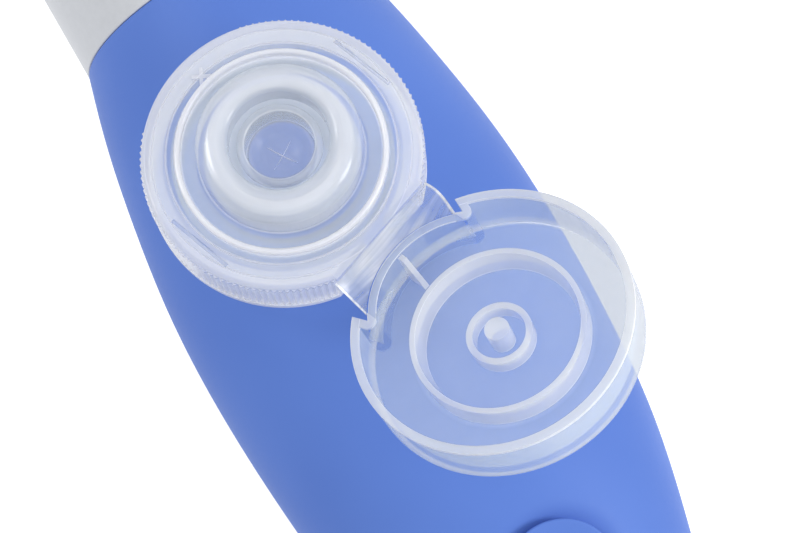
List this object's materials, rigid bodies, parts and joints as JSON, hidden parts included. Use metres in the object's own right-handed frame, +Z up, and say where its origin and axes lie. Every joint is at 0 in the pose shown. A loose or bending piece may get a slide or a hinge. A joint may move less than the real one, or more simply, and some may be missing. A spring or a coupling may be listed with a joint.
{
  "type": "squeeze bottle with flip-top cap",
  "caption": "Soft travel squeeze bottle lying on its side, with a screw neck, a suction cup, and its see-through flip-top cap taken off and lying open on top.",
  "frame": {"origin": "on the flat that the bottle lies on, below its axis at the widest section", "axes": "+Y along the bottle's axis towards its neck, +Z up from the surface it lies on, +X to the side"},
  "size_m": [0.0508, 0.1274, 0.062],
  "materials": {
    "blue_silicone": "soft matte silicone",
    "white_plastic": "smooth satin",
    "frosted_plastic": "translucent, lightly frosted",
    "clear_plastic": "see-through, lightly hazed",
    "clear_silicone": "translucent soft"
  },
  "bodies": {
    "bottle": {"bottle_body": "blue_silicone", "collar": "white_plastic", "neck_insert": "white_plastic"},
    "cup": {"suction_cup": "blue_silicone"},
    "cap": {"cap_base": "frosted_plastic", "cap_gasket": "clear_silicone", "valve": "clear_silicone", "valve_retainer": "frosted_plastic", "hinge_strap": "clear_plastic"},
    "lid": {"lid": "clear_plastic"}
  },
  "joints": [
    {"name": "cap_lift", "type": "slide", "parent": "bottle", "child": "cap", "axis": [0, 0, 1], "range_m": [0, 0.06]},
    {"name": "lid_hinge", "type": "hinge", "parent": "cap", "child": "lid", "pos_m": [0.00065, 0.00384, 0.04957], "axis": [-0.9432, -0.3322, 0], "range_deg": [0, 159.8], "deforming": ["hinge_strap"]},
    {"name": "cup_pull", "type": "slide", "parent": "bottle", "child": "cup", "axis": [0, -0.1881, 0.9821], "range_m": [0, 0.008]}
  ]
}
